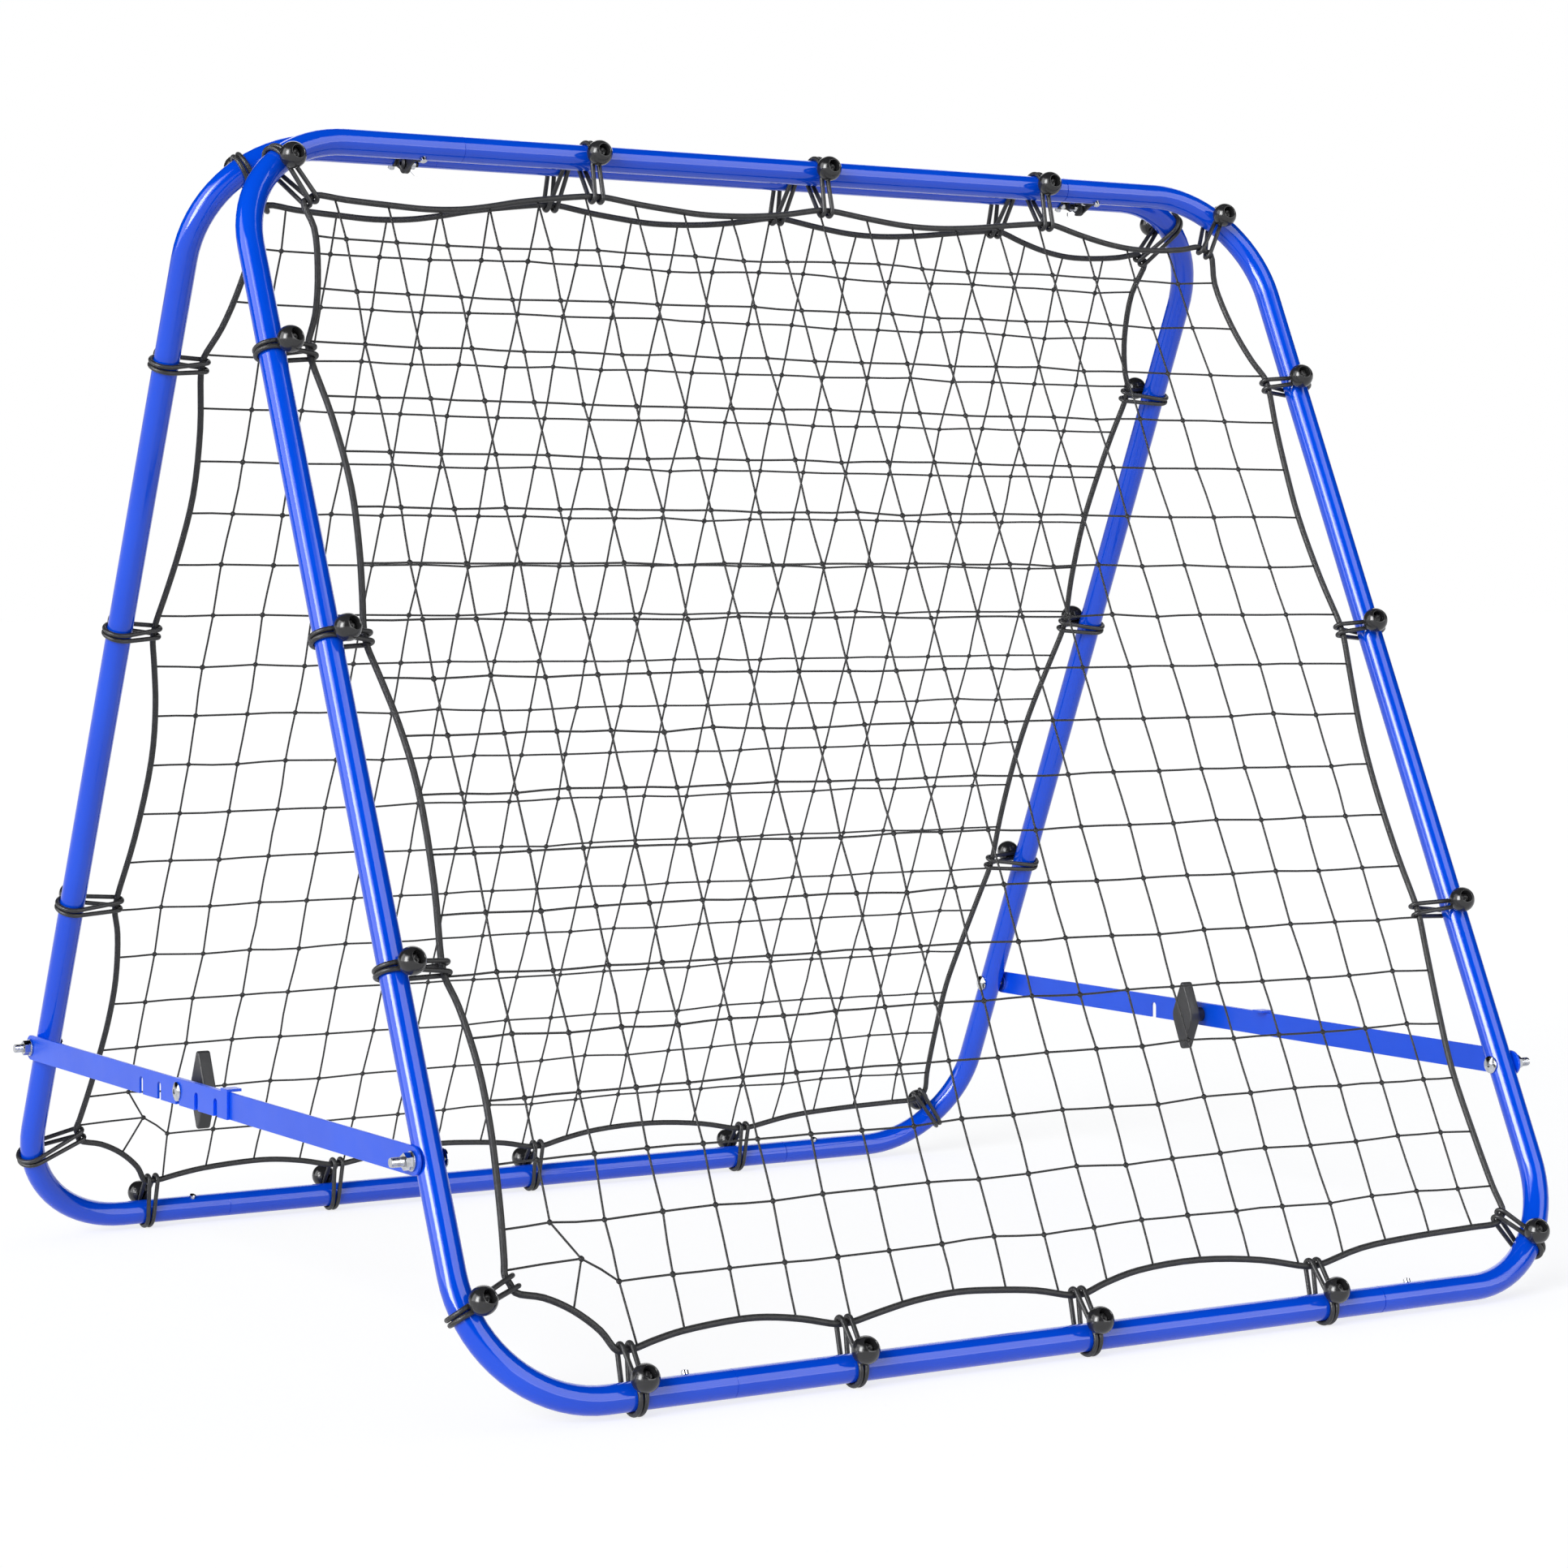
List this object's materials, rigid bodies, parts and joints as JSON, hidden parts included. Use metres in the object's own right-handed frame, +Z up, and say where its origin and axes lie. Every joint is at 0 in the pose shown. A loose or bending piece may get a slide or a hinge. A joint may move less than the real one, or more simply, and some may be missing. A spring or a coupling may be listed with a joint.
{
  "type": "pitch back rebounder",
  "caption": "Double-sided ball rebounder: two hinged tube frames lean together as an A, each holding a net by ball bungees, and notched side braces with clamp knobs keep them apart.",
  "frame": {"origin": "on the ground, in the middle of the part's box", "axes": "+X across the width, +Y from the front frame to the rear frame, +Z up"},
  "size_m": [1.246, 1.129, 1.1175],
  "materials": {
    "blue_tube": "glossy powder coat",
    "blue_bar": "glossy powder coat",
    "chromed_steel": "polished zinc or chrome plating",
    "spring_steel": "oiled spring steel",
    "net_strand": "knotted polyethylene twine",
    "border_rope": "smooth braided rope",
    "elastic_cord": "sheathed elastic cord",
    "ball_plastic": "glossy",
    "knob_plastic": "satin",
    "clip_plastic": "satin",
    "black_steel": "black oxide",
    "insert_brass": "plain"
  },
  "bodies": {
    "front_frame": {"front_left_side_tube": "blue_tube", "front_right_side_tube": "blue_tube", "front_top_tube": "blue_tube", "front_bottom_tube": "blue_tube", "front_button_springs": "spring_steel", "front_net": "net_strand", "front_border_rope": "border_rope", "front_bungee_cords": "elastic_cord", "front_bungee_balls": "ball_plastic", "front_pivot_bolts": "chromed_steel", "front_pivot_nuts": "chromed_steel", "left_front_clip": "clip_plastic", "right_front_clip": "clip_plastic", "clip_bolts": "black_steel", "front_clip_screws": "chromed_steel"},
    "rear_frame": {"rear_left_side_tube": "blue_tube", "rear_right_side_tube": "blue_tube", "rear_top_tube": "blue_tube", "rear_bottom_tube": "blue_tube", "rear_button_springs": "spring_steel", "rear_net": "net_strand", "rear_border_rope": "border_rope", "rear_bungee_cords": "elastic_cord", "rear_bungee_balls": "ball_plastic", "rear_pivot_bolts": "chromed_steel", "rear_pivot_nuts": "chromed_steel", "rear_pivot_spacers": "chromed_steel", "left_rear_clip": "clip_plastic", "right_rear_clip": "clip_plastic", "rear_clip_screws": "chromed_steel"},
    "left_notched_brace": {"left_notched_bar": "blue_bar"},
    "left_plain_brace": {"left_plain_bar": "blue_bar", "left_clamp_bolt": "chromed_steel"},
    "left_clamp_knob": {"left_knob": "knob_plastic", "left_knob_insert": "insert_brass"},
    "left_clip_wing": {"left_wing_nut": "chromed_steel"},
    "right_notched_brace": {"right_notched_bar": "blue_bar"},
    "right_plain_brace": {"right_plain_bar": "blue_bar", "right_clamp_bolt": "chromed_steel"},
    "right_clamp_knob": {"right_knob": "knob_plastic", "right_knob_insert": "insert_brass"},
    "right_clip_wing": {"right_wing_nut": "chromed_steel"},
    "front_top_left_button_body": {"front_top_left_button": "chromed_steel"},
    "front_top_right_button_body": {"front_top_right_button": "chromed_steel"},
    "front_bottom_left_button_body": {"front_bottom_left_button": "chromed_steel"},
    "front_bottom_right_button_body": {"front_bottom_right_button": "chromed_steel"},
    "rear_top_left_button_body": {"rear_top_left_button": "chromed_steel"},
    "rear_top_right_button_body": {"rear_top_right_button": "chromed_steel"},
    "rear_bottom_left_button_body": {"rear_bottom_left_button": "chromed_steel"},
    "rear_bottom_right_button_body": {"rear_bottom_right_button": "chromed_steel"}
  },
  "joints": [
    {"name": "frame_fold", "type": "hinge", "parent": "front_frame", "child": "rear_frame", "pos_m": [0, 0, 1.08734], "axis": [1, 0, 0], "range_deg": [-46, 0]},
    {"name": "left_notched_swing", "type": "hinge", "parent": "rear_frame", "child": "left_notched_brace", "pos_m": [-0.6, 0.4431, 0.2123], "axis": [1, 0, 0], "range_deg": [-58, 0]},
    {"name": "left_plain_swing", "type": "hinge", "parent": "front_frame", "child": "left_plain_brace", "pos_m": [-0.6, -0.4431, 0.2123], "axis": [1, 0, 0], "range_deg": [-110.5, 0]},
    {"name": "left_knob_turn", "type": "hinge", "parent": "left_plain_brace", "child": "left_clamp_knob", "pos_m": [-0.58, 0.053, 0.2123], "axis": [1, 0, 0], "continuous": true},
    {"name": "left_wing_turn", "type": "hinge", "parent": "front_frame", "child": "left_clip_wing", "pos_m": [-0.386, 0, 1.08734], "axis": [1, 0, 0], "continuous": true},
    {"name": "right_notched_swing", "type": "hinge", "parent": "rear_frame", "child": "right_notched_brace", "pos_m": [0.6, 0.4431, 0.2123], "axis": [1, 0, 0], "range_deg": [-58, 0]},
    {"name": "right_plain_swing", "type": "hinge", "parent": "front_frame", "child": "right_plain_brace", "pos_m": [0.6, -0.4431, 0.2123], "axis": [1, 0, 0], "range_deg": [-110.5, 0]},
    {"name": "right_knob_turn", "type": "hinge", "parent": "right_plain_brace", "child": "right_clamp_knob", "pos_m": [0.58, 0.053, 0.2123], "axis": [1, 0, 0], "continuous": true},
    {"name": "right_wing_turn", "type": "hinge", "parent": "front_frame", "child": "right_clip_wing", "pos_m": [0.386, 0, 1.08734], "axis": [1, 0, 0], "continuous": true},
    {"name": "front_top_left_button_press", "type": "slide", "parent": "front_frame", "child": "front_top_left_button_body", "axis": [0, 0.4226, 0.9063], "range_m": [0, 0.0061], "stiffness_N_per_m": 1200, "springref_m": -0.002, "deforming": ["front_button_springs"]},
    {"name": "front_top_right_button_press", "type": "slide", "parent": "front_frame", "child": "front_top_right_button_body", "axis": [0, 0.4226, 0.9063], "range_m": [0, 0.0061], "stiffness_N_per_m": 1200, "springref_m": -0.002, "deforming": ["front_button_springs"]},
    {"name": "front_bottom_left_button_press", "type": "slide", "parent": "front_frame", "child": "front_bottom_left_button_body", "axis": [0, -0.4226, -0.9063], "range_m": [0, 0.0061], "stiffness_N_per_m": 1200, "springref_m": -0.002, "deforming": ["front_button_springs"]},
    {"name": "front_bottom_right_button_press", "type": "slide", "parent": "front_frame", "child": "front_bottom_right_button_body", "axis": [0, -0.4226, -0.9063], "range_m": [0, 0.0061], "stiffness_N_per_m": 1200, "springref_m": -0.002, "deforming": ["front_button_springs"]},
    {"name": "rear_top_left_button_press", "type": "slide", "parent": "rear_frame", "child": "rear_top_left_button_body", "axis": [0, -0.4226, 0.9063], "range_m": [0, 0.0061], "stiffness_N_per_m": 1200, "springref_m": -0.002, "deforming": ["rear_button_springs"]},
    {"name": "rear_top_right_button_press", "type": "slide", "parent": "rear_frame", "child": "rear_top_right_button_body", "axis": [0, -0.4226, 0.9063], "range_m": [0, 0.0061], "stiffness_N_per_m": 1200, "springref_m": -0.002, "deforming": ["rear_button_springs"]},
    {"name": "rear_bottom_left_button_press", "type": "slide", "parent": "rear_frame", "child": "rear_bottom_left_button_body", "axis": [0, 0.4226, -0.9063], "range_m": [0, 0.0061], "stiffness_N_per_m": 1200, "springref_m": -0.002, "deforming": ["rear_button_springs"]},
    {"name": "rear_bottom_right_button_press", "type": "slide", "parent": "rear_frame", "child": "rear_bottom_right_button_body", "axis": [0, 0.4226, -0.9063], "range_m": [0, 0.0061], "stiffness_N_per_m": 1200, "springref_m": -0.002, "deforming": ["rear_button_springs"]}
  ],
  "couplings": [
    {"joint": "left_notched_swing", "follows": "frame_fold", "ratio": 1.26},
    {"joint": "left_plain_swing", "follows": "frame_fold", "ratio": 2.4},
    {"joint": "right_notched_swing", "follows": "frame_fold", "ratio": 1.26},
    {"joint": "right_plain_swing", "follows": "frame_fold", "ratio": 2.4}
  ]
}
